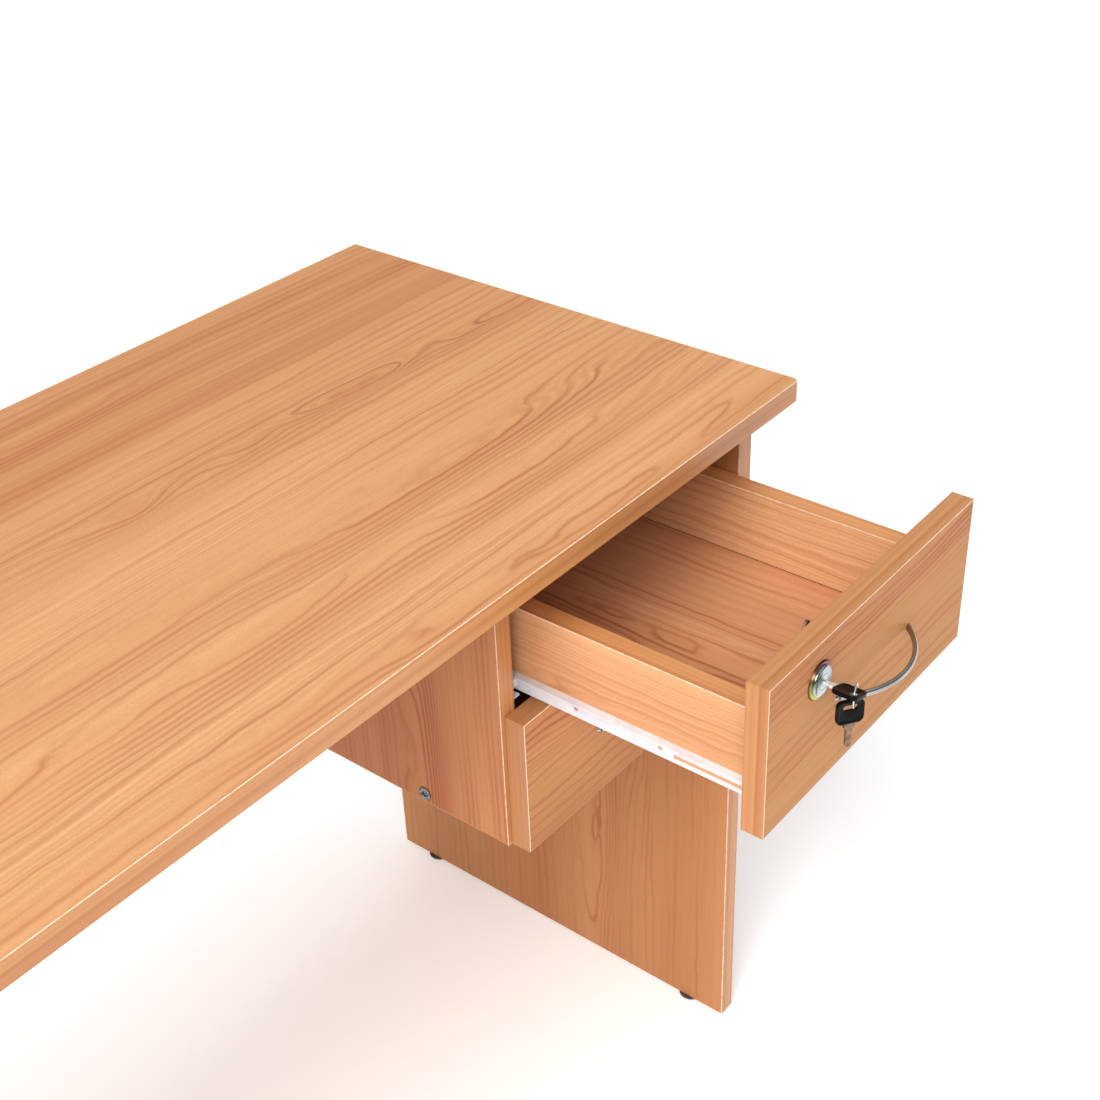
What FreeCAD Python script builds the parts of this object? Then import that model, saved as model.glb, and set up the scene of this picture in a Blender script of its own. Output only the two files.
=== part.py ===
import FreeCAD, Part
import math
import os

# Study table in laminated board with a hung pedestal of two drawers, in millimetres.
# X runs along the desktop, with the pedestal at the +X end; the drawers open towards -Y; +Z is up.
# It is built with y = 0 at the desktop's front edge and z = 0 on the floor, x = 0 at mid length.

# Desktop and boards
table_width = 1200.0
table_depth = 500.0
table_height = 750.0
board = 18.0
thin_board = 16.0
drawer_base_board = 12.0
edge_band = 1.0
desktop_corner_radius = 6.0

# Leg panels and modesty panel
leg_inset_from_end = 13.5
leg_front_setback = 36.0
leg_rear_setback = 16.0
modesty_height = 300.0
glide_radius = 12.5
glide_height = 5.0
glide_foot_share = 0.8
glide_pin_radius = 2.5
glide_pin_length = 14.0
glide_end_distance = 45.0

# Pedestal
drawer_opening_width = 279.0
pedestal_bottom_below_desktop = 274.5
front_rail_depth = 16.0
front_to_carcass_gap = 0.5

# Drawer fronts
front_height = 128.0
front_top_gap = 17.0
front_between_gap = 1.5
front_to_leg_gap = 2.5
front_left_reveal = 4.0

# Drawer boxes
box_side_gap = 12.5
box_rear_clearance = 12.0
box_height = 75.5
top_box_above_front_bottom = 8.7
bottom_box_above_front_bottom = 24.5
photo_opening = 210.0
travel_share = 0.75

# Roller runners: pressed steel, white
runner_steel = 1.2
runner_height = 16.0
runner_under_flange = 12.0
track_flange = 5.3
cabinet_runner_depth = 9.5
cabinet_runner_top_flange = 5.3
cabinet_runner_drop = 2.5
cabinet_runner_setback = 2.5
runner_hole_radius = 2.0
runner_hole_drop = 9.0
runner_hole_places = (12.0, 88.0)
runner_slot_height = 4.0
runner_slot_drop = 10.8
runner_slot_length = 72.0
runner_stop_height = 2.0
runner_stop_length = 2.5
roller_gap = 0.2
roller_rim_radius = 0.6
cabinet_roller_radius = 6.5
cabinet_roller_width = 5.3
cabinet_roller_end_distance = 8.0
drawer_roller_radius = 7.7
drawer_roller_width = 5.5
drawer_roller_end_distance = 9.0
axle_radius = 2.0
axle_clearance = 0.06
axle_head_radius = 3.2
axle_head_thickness = 0.4
roller_side_gap = 0.3

# Screws, cams, bolts and dowels
screw_radius = 1.75
screw_length = 12.0
screw_head_radius = 3.5
screw_head_height = 1.6
cabinet_screw_shares = (0.125, 0.5, 0.875)
runner_screw_shares = (0.1125, 0.825)
fit_clearance = 0.1
cam_radius = 7.5
cam_depth = 12.5
cam_edge_distance = 24.0
cam_slot_width = 2.0
bolt_head_radius = 3.5
bolt_shank_radius = 3.0
bolt_thread_radius = 2.5
bolt_thread_length = 11.0
bolt_head_length = 4.0
cam_place = 64.0
dowel_radius = 4.0
dowel_length = 24.0
drawer_dowel_radius = 3.0
drawer_dowel_length = 20.0
drawer_cam_height_share = 0.3
front_dowel_height_share = 0.75
back_dowel_height_share = 0.5
base_dowel_shares = (0.2, 0.8)
long_screw_radius = 2.5
long_screw_length = 50.0
long_screw_head_radius = 6.2
long_screw_head_height = 2.0
long_screw_recess_radius = 2.9
long_screw_place = 88.5
long_screw_row_spacing = 230.0

# Bow handles
handle_spacing = 102.0
handle_projection = 27.0
handle_thickness = 5.0
handle_foot_radius = 3.6
handle_neck_radius = 2.6
handle_foot_height = 5.0
handle_screw_radius = 1.6
handle_screw_bite = 3.2
handle_screw_head_radius = 4.2
handle_screw_head_height = 2.4
handle_hole_clearance = 0.3

# Cam lock of the top drawer
lock_from_front_edge = 65.0
lock_below_front_top = 31.5
rose_radius = 15.0
rose_thickness = 1.5
lock_face_radius = 12.0
lock_face_small_radius = 8.4
lock_face_height = 2.5
lock_barrel_radius = 8.0
lock_nut_radius = 12.0
lock_nut_thickness = 3.0
plug_radius = 6.0
plug_stub_radius = 3.0
lock_cam_length = 35.0
lock_cam_half_width = 6.0
lock_cam_thickness = 2.0
lock_cam_gap = 0.3
lock_cam_turn = 35.0
lock_slot_clearance = 1.5
cam_screw_radius = 1.5
cam_screw_length = 8.0
cam_screw_head_radius = 4.0
cam_screw_head_height = 1.8

# Keys and the wire loop that joins them
key_tilt = 20.5
key_blade_thickness = 2.0
key_blade_width = 5.0
key_shoulder_width = 8.2
key_shoulder_length = 4.5
key_insertion = 11.0
key_neck_length = 9.3
key_slot_clearance = 0.2
key_blade_in_head = 6.0
key_tip_radius = 1.5
key_head_length = 19.5
key_head_width = 20.5
key_head_thickness = 3.2
key_head_corner_radius = 4.5
key_head_edge_radius = 0.7
key_eye_width = 11.5
key_eye_height = 5.0
key_eye_from_end = 6.2
loop_radius = 8.7
loop_wire_radius = 0.6
loop_turn = 21.0
loop_lift = 2.0
loop_eye_gap = 1.5
spare_key_turn = -35.0
spare_key_aside = 3.2

# Frame of the desk, worked out from the values above
right_end = table_width / 2
desktop_bottom = table_height - board
right_leg_outer = right_end - leg_inset_from_end
right_leg_inner = right_leg_outer - board
left_leg_outer = -right_leg_outer
left_leg_inner = -right_leg_inner
leg_rear = table_depth - leg_rear_setback
modesty_front = leg_rear - board
front_panel_back = leg_front_setback + board
pedestal_front = front_panel_back + front_to_carcass_gap
pedestal_inner = right_leg_inner - drawer_opening_width
pedestal_outer = pedestal_inner - thin_board
pedestal_bottom = desktop_bottom - pedestal_bottom_below_desktop
modesty_bottom = desktop_bottom - modesty_height
front_left = pedestal_outer + front_left_reveal
front_right = right_leg_inner - front_to_leg_gap
top_front_top = desktop_bottom - front_top_gap
bottom_front_top = top_front_top - front_height - front_between_gap
box_left_outer = pedestal_inner + box_side_gap
box_right_outer = right_leg_inner - box_side_gap
rail_back = pedestal_front + thin_board
box_depth = modesty_front - box_rear_clearance - front_panel_back
drawer_travel = box_depth * travel_share
cabinet_runner_length = box_depth


class Assembly:
    """Collects the solids of each named node."""

    def __init__(self):
        self.nodes = {}

    def add(self, name, *shapes):
        self.nodes.setdefault(name, []).extend(shapes)

    def cut(self, name, *tools):
        """Drills every tool out of a node's solids."""
        self.nodes[name] = [drill(shape, tools) for shape in self.nodes[name]]


table = Assembly()


def vector(x, y, z):
    return FreeCAD.Vector(x, y, z)


along_x = vector(1, 0, 0)
along_y = vector(0, 1, 0)
along_z = vector(0, 0, 1)


def block(x, y, z):
    """A box from its low and high limits along each axis."""
    low = vector(min(x), min(y), min(z))
    size = vector(max(x), max(y), max(z)) - low
    return Part.makeBox(size.x, size.y, size.z, low)


def rod(radius, start, end):
    """A round bar from one point to another."""
    run = end - start
    return Part.makeCylinder(radius, run.Length, start, run)


def cone(start_radius, end_radius, start, end):
    run = end - start
    return Part.makeCone(start_radius, end_radius, run.Length, start, run)


def near(shape, tool):
    return shape.BoundBox.intersect(tool.BoundBox)


def drill(shape, tools):
    close = [tool for tool in tools if near(shape, tool)]
    if not close:
        return shape
    return shape.cut(close).Solids[0]


def join(first, *others):
    return first.fuse(list(others)).removeSplitter().Solids[0]


def upright_edges(shape):
    """The straight edges of a shape that run along Z."""
    return [edge for edge in shape.Edges if edge.BoundBox.DiagonalLength == edge.BoundBox.ZLength]


def turned(shape, centre, axis, angle):
    copy = shape.copy()
    copy.rotate(centre, axis, angle)
    return copy


def moved(shape, offset):
    copy = shape.copy()
    copy.translate(offset)
    return copy


def banded_slab(x, y, z, thickness_axis):
    """A whole slab, and the board in it once the band round its four edges is taken off."""
    inside = []
    for limits, axis in ((x, along_x), (y, along_y), (z, along_z)):
        inset = 0 if axis is thickness_axis else edge_band
        inside.append((limits[0] + inset, limits[1] - inset))
    return block(x, y, z), block(*inside)


def cam_fitting(panel, mate, face_point, into_face, to_edge):
    """A cam sunk in a panel's face and the bolt that it draws from the mating panel's face.

    face_point is on the panel's face over the cam's centre, and to_edge points at the mating panel.
    """
    centre = face_point + into_face * cam_bolt_depth(into_face, panel)
    edge = centre + to_edge * cam_edge_distance
    cam = rod(cam_radius, face_point, face_point + into_face * cam_depth)
    head = rod(bolt_head_radius, centre - to_edge * (bolt_head_length / 2),
               centre + to_edge * (bolt_head_length / 2))
    shank = rod(bolt_shank_radius, centre, edge)
    thread = rod(bolt_thread_radius, edge, edge + to_edge * bolt_thread_length)
    bolt = join(head, shank, thread)
    pocket = rod(bolt_head_radius + fit_clearance,
                 centre - to_edge * (bolt_head_length / 2 + fit_clearance), edge)
    across = into_face.cross(to_edge)
    groove_start = face_point - across * cam_radius
    groove = rod(cam_slot_width / 2, groove_start, groove_start + across * (2 * cam_radius))
    cam = drill(cam, [pocket, groove])
    bore = rod(cam_radius + fit_clearance, face_point, face_point + into_face * (cam_depth + fit_clearance))
    tapped = rod(bolt_thread_radius + fit_clearance, edge,
                 edge + to_edge * (bolt_thread_length + fit_clearance))
    table.cut(panel, bore, pocket)
    table.cut(mate, tapped)
    return cam, bolt


def cam_bolt_depth(into_face, panel):
    """Half the panel's thickness: the bolt lies at mid thickness."""
    box = table.nodes[panel][0].BoundBox
    return (abs(into_face.x) * box.XLength + abs(into_face.y) * box.YLength
            + abs(into_face.z) * box.ZLength) / 2


def pan_screw(seat, into, length=screw_length, radius=screw_radius):
    """A pan-head screw whose head sits on the seat point, with its shank going in."""
    head = rod(screw_head_radius, seat - into * screw_head_height, seat)
    shank = rod(radius, seat - into * (screw_head_height / 2), seat + into * length)
    return join(head, shank)


def screw_hole(seat, into, reach, radius=screw_radius):
    return rod(radius + fit_clearance, seat - into * fit_clearance, seat + into * (reach + fit_clearance))


def pegs(node, first, second, joint_points, direction, radius, length):
    """Dowels half in each of two panels, across the joint between them."""
    for point in joint_points:
        half = direction * (length / 2)
        table.add(node, rod(radius, point - half, point + half))
        hole = rod(radius + fit_clearance, point - half - direction * fit_clearance,
                   point + half + direction * fit_clearance)
        table.cut(first, hole)
        table.cut(second, hole)


def desktop():
    """The top, with its two front corners rounded."""
    slabs = banded_slab((-right_end, right_end), (0, table_depth), (desktop_bottom, table_height), along_z)
    rounded = []
    for slab, radius in zip(slabs, (desktop_corner_radius, desktop_corner_radius - edge_band)):
        corners = [edge for edge in upright_edges(slab) if edge.BoundBox.YMin < table_depth / 2]
        rounded.append(slab.makeFillet(radius, corners))
    whole, inside = rounded
    table.add("desktop", inside)
    table.add("desktop_edge_band", whole.cut(inside).Solids[0])


def leg_panels():
    for side, outer, inner in (("right", right_leg_outer, right_leg_inner),
                               ("left", left_leg_outer, left_leg_inner)):
        panel = block((outer, inner), (leg_front_setback + edge_band, leg_rear - edge_band),
                      (glide_height, desktop_bottom))
        table.add(side + "_leg_panel", panel)
        for y in (leg_front_setback, leg_rear - edge_band):
            table.add("leg_and_modesty_edge_bands",
                      block((outer, inner), (y, y + edge_band), (glide_height, desktop_bottom)))
        middle = (outer + inner) / 2
        for y in (leg_front_setback + glide_end_distance, leg_rear - glide_end_distance):
            floor = vector(middle, y, 0)
            rim = vector(middle, y, glide_height / 2)
            top = vector(middle, y, glide_height)
            tip = top + along_z * glide_pin_length
            foot = cone(glide_radius * glide_foot_share, glide_radius, floor, rim)
            disc = rod(glide_radius, rim, top)
            table.add("floor_glides", join(foot, disc, rod(glide_pin_radius, rim, tip)))
            table.cut(side + "_leg_panel",
                      rod(glide_pin_radius + fit_clearance, top, tip + along_z * fit_clearance))


def modesty_panel():
    between_legs = (left_leg_inner, right_leg_inner)
    depth = (modesty_front, leg_rear)
    table.add("modesty_panel", block(between_legs, depth, (modesty_bottom + edge_band, desktop_bottom)))
    table.add("leg_and_modesty_edge_bands",
              block(between_legs, depth, (modesty_bottom, modesty_bottom + edge_band)))


def pedestal():
    """The side and the bottom that hold the drawers, and the rail over the top drawer."""
    side = (pedestal_outer, pedestal_inner)
    opening = (pedestal_inner, right_leg_inner)
    band_back = pedestal_front + edge_band
    band_depth = (pedestal_front, band_back)
    panel_depth = (band_back, modesty_front)
    bottom = (pedestal_bottom, pedestal_bottom + board)
    side_height = (pedestal_bottom + edge_band, desktop_bottom)
    rail_height = (desktop_bottom - front_rail_depth, desktop_bottom)
    table.add("pedestal_side_panel", block(side, panel_depth, side_height))
    table.add("pedestal_bottom_panel", block(opening, panel_depth, bottom))
    table.add("pedestal_edge_bands",
              block(side, band_depth, (pedestal_bottom, desktop_bottom)),
              block(side, panel_depth, (pedestal_bottom, pedestal_bottom + edge_band)),
              block(opening, band_depth, bottom))
    table.add("pedestal_front_rail", block(opening, (pedestal_front, rail_back), rail_height))


def carcass_fixings():
    """Cams and bolts at the panel joints, dowels at the rail, and long screws in the pedestal."""
    fixings = []
    leg_rows = (leg_front_setback + cam_place, leg_rear - cam_place - board)
    for side, inner, into in (("right", right_leg_inner, along_x), ("left", left_leg_inner, -along_x)):
        for y in leg_rows:
            fixings.append((side + "_leg_panel", "desktop",
                            vector(inner, y, desktop_bottom - cam_edge_distance), into, along_z))
        for z in (desktop_bottom - cam_place, modesty_bottom + cam_place):
            fixings.append(("modesty_panel", side + "_leg_panel",
                            vector(inner - into.x * cam_edge_distance, modesty_front, z), along_y, into))
    for y in (rail_back + cam_place, modesty_front - cam_place):
        fixings.append(("pedestal_side_panel", "desktop",
                        vector(pedestal_inner, y, desktop_bottom - cam_edge_distance), -along_x, along_z))
        fixings.append(("pedestal_bottom_panel", "right_leg_panel",
                        vector(right_leg_inner - cam_edge_distance, y, pedestal_bottom), along_z, along_x))
    for panel, mate, point, into, to_edge in fixings:
        cam, bolt = cam_fitting(panel, mate, point, into, to_edge)
        table.add("cam_fittings", cam)
        table.add("connecting_bolts", bolt)
    for x, panel in ((pedestal_inner, "pedestal_side_panel"), (right_leg_inner, "right_leg_panel")):
        rail_end = vector(x, (pedestal_front + rail_back) / 2, desktop_bottom - front_rail_depth / 2)
        pegs("rail_dowels", panel, "pedestal_front_rail", [rail_end], along_x, dowel_radius, dowel_length)
    first_screw = pedestal_front + long_screw_place
    for y in (first_screw, first_screw + long_screw_row_spacing):
        long_screw(vector(pedestal_outer, y, pedestal_bottom + board / 2), along_x,
                   "pedestal_side_panel", "pedestal_bottom_panel")
    for z in (desktop_bottom - cam_place, pedestal_bottom + board + cam_place):
        long_screw(vector((pedestal_outer + pedestal_inner) / 2, leg_rear, z), -along_y,
                   "modesty_panel", "pedestal_side_panel")


def long_screw(seat, into, first, second):
    """A flat-headed screw through one panel's face into the next panel's edge."""
    head = rod(long_screw_head_radius, seat - into * (long_screw_head_height / 2),
               seat + into * (long_screw_head_height / 2))
    shank = rod(long_screw_radius, seat, seat + into * long_screw_length)
    recess = rod(long_screw_recess_radius, seat - into * long_screw_head_height, seat)
    table.add("pedestal_screws", drill(join(head, shank), [recess]))
    sink = rod(long_screw_head_radius + fit_clearance, seat - into * fit_clearance,
               seat + into * (long_screw_head_height / 2 + fit_clearance))
    hole = screw_hole(seat, into, long_screw_length, long_screw_radius)
    table.cut(first, sink, hole)
    table.cut(second, hole)


class Drawer:
    """Places of one drawer: the top of its front, its box's height on the front and how far it is open."""

    def __init__(self, name, front_top, box_above_front_bottom, opening):
        self.name = name
        self.front_top = front_top
        self.front_bottom = front_top - front_height
        self.face = leg_front_setback - opening
        self.back_face = self.face + board
        self.box_bottom = self.front_bottom + box_above_front_bottom
        self.box_top = self.box_bottom + box_height
        self.box_rear = self.back_face + box_depth
        self.runner_bottom = self.box_bottom - runner_steel
        self.runner_top = self.runner_bottom + runner_height
        self.middle_x = (front_left + front_right) / 2
        self.middle_z = (self.front_top + self.front_bottom) / 2


top_drawer = Drawer("top_drawer", top_front_top, top_box_above_front_bottom, photo_opening)
bottom_drawer = Drawer("bottom_drawer", bottom_front_top, bottom_box_above_front_bottom, 0)
drawers = (top_drawer, bottom_drawer)


def drawer_panels(drawer):
    name = drawer.name
    whole, inside = banded_slab((front_left, front_right), (drawer.face, drawer.back_face),
                                (drawer.front_bottom, drawer.front_top), along_y)
    table.add(name + "_front", inside)
    table.add(name + "_front_edge_band", whole.cut(inside).Solids[0])
    depth = (drawer.back_face, drawer.box_rear)
    inner_left = box_left_outer + thin_board
    inner_right = box_right_outer - thin_board
    core_top = drawer.box_top - edge_band
    base_top = drawer.box_bottom + drawer_base_board
    back_depth = (drawer.box_rear - thin_board, drawer.box_rear)
    for side, x in (("left", (box_left_outer, inner_left)), ("right", (inner_right, box_right_outer))):
        table.add(name + "_" + side + "_side", block(x, depth, (drawer.box_bottom, core_top)))
        table.add(name + "_box_edge_bands", block(x, depth, (core_top, drawer.box_top)))
    inside = (inner_left, inner_right)
    table.add(name + "_back", block(inside, back_depth, (base_top, core_top)))
    table.add(name + "_box_edge_bands", block(inside, back_depth, (core_top, drawer.box_top)))
    table.add(name + "_base", block(inside, depth, (drawer.box_bottom, base_top)))
    drawer_box_fixings(drawer, inner_left, inner_right, base_top)


def drawer_box_fixings(drawer, inner_left, inner_right, base_top):
    name = drawer.name
    wall_height = drawer.box_top - base_top
    cam_height = base_top + wall_height * drawer_cam_height_share
    peg_height = base_top + wall_height * front_dowel_height_share
    back_peg_height = base_top + wall_height * back_dowel_height_share
    back_middle = drawer.box_rear - thin_board / 2
    base_middle = base_top - drawer_base_board / 2
    base_rows = [drawer.back_face + box_depth * share for share in base_dowel_shares]
    for side, inner, into in (("left", inner_left, -along_x), ("right", inner_right, along_x)):
        panel = name + "_" + side + "_side"
        point = vector(inner, drawer.back_face + cam_edge_distance, cam_height)
        cam, bolt = cam_fitting(panel, name + "_front", point, into, -along_y)
        table.add(name + "_cam_fittings", cam)
        table.add(name + "_cam_bolts", bolt)
        middle = inner + into.x * thin_board / 2
        pegs(name + "_dowels", panel, name + "_front", [vector(middle, drawer.back_face, peg_height)],
             along_y, drawer_dowel_radius, drawer_dowel_length)
        pegs(name + "_dowels", panel, name + "_back", [vector(inner, back_middle, back_peg_height)],
             into, drawer_dowel_radius, drawer_dowel_length)
        pegs(name + "_dowels", panel, name + "_base", [vector(inner, y, base_middle) for y in base_rows],
             into, drawer_dowel_radius, drawer_dowel_length)


def handle(drawer):
    """A bow of oval section on two flared feet, and the two screws that hold it from inside."""
    name = drawer.name
    half = handle_spacing / 2
    reach = handle_projection - handle_thickness / 2
    radius = (half ** 2 + reach ** 2) / (2 * reach)
    centre = vector(drawer.middle_x, drawer.face - reach + radius, drawer.middle_z)
    sweep = math.degrees(math.asin(half / radius))
    section = Part.Wire([Part.Circle(centre - along_y * radius, along_x, handle_thickness / 2).toShape()])
    bow = Part.Face(section)
    bow.rotate(centre, along_z, -sweep)
    bow = bow.revolve(centre, along_z, 2 * sweep)
    behind = block((drawer.middle_x - handle_spacing, drawer.middle_x + handle_spacing),
                   (drawer.face, drawer.face + handle_projection),
                   (drawer.middle_z - handle_spacing, drawer.middle_z + handle_spacing))
    feet = []
    tools = [behind]
    for x in (drawer.middle_x - half, drawer.middle_x + half):
        root = vector(x, drawer.face, drawer.middle_z)
        feet.append(cone(handle_foot_radius, handle_neck_radius, root, root - along_y * handle_foot_height))
        tools.append(rod(handle_screw_radius + fit_clearance / 2, root,
                         root - along_y * (handle_screw_bite + fit_clearance)))
        seat = root + along_y * board
        head = rod(handle_screw_head_radius, seat, seat + along_y * handle_screw_head_height)
        shank = rod(handle_screw_radius, seat, root - along_y * handle_screw_bite)
        table.add(name + "_handle_screws", join(head, shank))
        table.cut(name + "_front", rod(handle_screw_radius + handle_hole_clearance, root, seat))
    table.add(name + "_handle", drill(join(bow.Solids[0], *feet), tools))


class Side:
    """One side of the drawer opening: the wall's face, and the way from it towards the drawer."""

    def __init__(self, wall, direction):
        self.wall = wall
        self.direction = direction

    def x(self, distance):
        return self.wall + self.direction * distance

    def across(self, near_distance, far_distance):
        return (self.x(near_distance), self.x(far_distance))


left_side = Side(pedestal_inner, 1)
right_side = Side(right_leg_inner, -1)
sides = (left_side, right_side)


def drawer_runners(drawer):
    """Z-shaped runners on the drawer box: a flange under the side, a web on it and a track on top."""
    name = drawer.name
    front = drawer.back_face
    rear = front + box_depth
    web_face = box_side_gap - runner_steel
    roller_y = rear - drawer_roller_end_distance
    roller_z = drawer_roller_height(drawer)
    roller_near = web_face - roller_side_gap - drawer_roller_width
    for side in sides:
        web = block(side.across(web_face, box_side_gap), (front, rear),
                    (drawer.runner_bottom, drawer.runner_top))
        under = block(side.across(web_face, box_side_gap + runner_under_flange), (front, rear),
                      (drawer.runner_bottom, drawer.box_bottom))
        track = block(side.across(web_face - track_flange, box_side_gap), (front, rear),
                      (drawer.runner_top - runner_steel, drawer.runner_top))
        holes = []
        for place in runner_hole_places:
            at = vector(side.x(web_face - runner_steel), front + runner_slot_length + place,
                        drawer.runner_top - runner_hole_drop)
            holes.append(rod(runner_hole_radius, at, vector(side.x(box_side_gap), at.y, at.z)))
        slot_z = drawer.runner_top - runner_slot_drop
        holes.append(block(side.across(web_face - runner_steel, box_side_gap),
                           (front + runner_slot_height, front + runner_slot_length),
                           (slot_z - runner_slot_height / 2, slot_z + runner_slot_height / 2)))
        for share in runner_screw_shares:
            seat = vector((side.x(box_side_gap) + side.x(box_side_gap + thin_board)) / 2,
                          front + box_depth * share, drawer.runner_bottom)
            table.add(name + "_runner_screws", pan_screw(seat, along_z))
            holes.append(screw_hole(seat, along_z, screw_length))
            side_node = name + ("_left_side" if side is left_side else "_right_side")
            table.cut(side_node, screw_hole(seat, along_z, screw_length))
        axle_seat = vector(side.x(web_face), roller_y, roller_z)
        axle_end = vector(side.x(roller_near - roller_side_gap), roller_y, roller_z)
        axle_cap = vector(side.x(roller_near - roller_side_gap - axle_head_thickness), roller_y, roller_z)
        runner = drill(join(web, under, track), holes)
        axle = join(rod(axle_radius, axle_seat, axle_end), rod(axle_head_radius, axle_end, axle_cap))
        table.add(name + "_runners", join(runner, axle))
        table.add(name + "_rollers", roller(side, roller_near, drawer_roller_width, drawer_roller_radius,
                                            roller_y, roller_z))


def drawer_roller_height(drawer):
    return cabinet_runner_floor(drawer) + roller_gap + drawer_roller_radius


def cabinet_runner_floor(drawer):
    """Top of the cabinet runner's lower flange."""
    return drawer.runner_bottom - cabinet_runner_drop + runner_steel


def roller(side, near_distance, width, radius, y, z):
    start = vector(side.x(near_distance), y, z)
    end = vector(side.x(near_distance + width), y, z)
    wheel = rod(radius, start, end)
    rims = [edge for edge in wheel.Edges if len(edge.Vertexes) == 1]
    wheel = wheel.makeFillet(roller_rim_radius, rims)
    return drill(wheel, [rod(axle_radius + axle_clearance, start, end)])


def cabinet_runners(drawer):
    """C-shaped runners on the pedestal side and the leg panel, each with a roller at its front end."""
    front = pedestal_front + cabinet_runner_setback
    rear = front + cabinet_runner_length
    floor = cabinet_runner_floor(drawer)
    base = floor - runner_steel
    top = drawer.runner_top - runner_steel / 2
    web_face = box_side_gap - runner_steel
    roller_y = front + cabinet_roller_end_distance
    roller_z = drawer.runner_top - runner_steel - roller_gap - cabinet_roller_radius
    roller_near = web_face - roller_side_gap - cabinet_roller_width
    closed_roller_y = front_panel_back + box_depth - drawer_roller_end_distance
    rise = drawer_roller_radius + roller_gap - runner_stop_height
    stop_reach = math.sqrt(drawer_roller_radius ** 2 - rise ** 2)
    stop_face = closed_roller_y - drawer_travel - stop_reach - roller_side_gap
    for side, panel in ((left_side, "pedestal_side_panel"), (right_side, "right_leg_panel")):
        web = block(side.across(0, runner_steel), (front, rear), (base, top))
        lower = block(side.across(0, cabinet_runner_depth), (front, rear), (base, floor))
        upper = block(side.across(0, cabinet_runner_top_flange), (front, rear), (top - runner_steel, top))
        stop = block(side.across(roller_near, cabinet_runner_depth),
                     (stop_face - runner_stop_length, stop_face), (base, floor + runner_stop_height))
        axle_seat = vector(side.x(runner_steel), roller_y, roller_z)
        axle_end = vector(side.x(roller_near + cabinet_roller_width), roller_y, roller_z)
        shoulder_end = vector(side.x(roller_near - roller_side_gap), roller_y, roller_z)
        shoulder = rod(axle_head_radius, axle_seat, shoulder_end)
        axle = rod(axle_radius, axle_seat, axle_end)
        holes = []
        for share in cabinet_screw_shares:
            seat = vector(side.x(runner_steel), front + cabinet_runner_length * share, (floor + top) / 2)
            into = along_x * -side.direction
            table.add("cabinet_runner_screws", pan_screw(seat, into))
            holes.append(screw_hole(seat, into, screw_length))
        table.cut(panel, *holes)
        table.add("cabinet_runners", drill(join(web, lower, upper, stop, shoulder, axle), holes))
        wheel = roller(side, roller_near, cabinet_roller_width, cabinet_roller_radius, roller_y, roller_z)
        table.add(drawer.name + "_cabinet_rollers", wheel)


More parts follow.
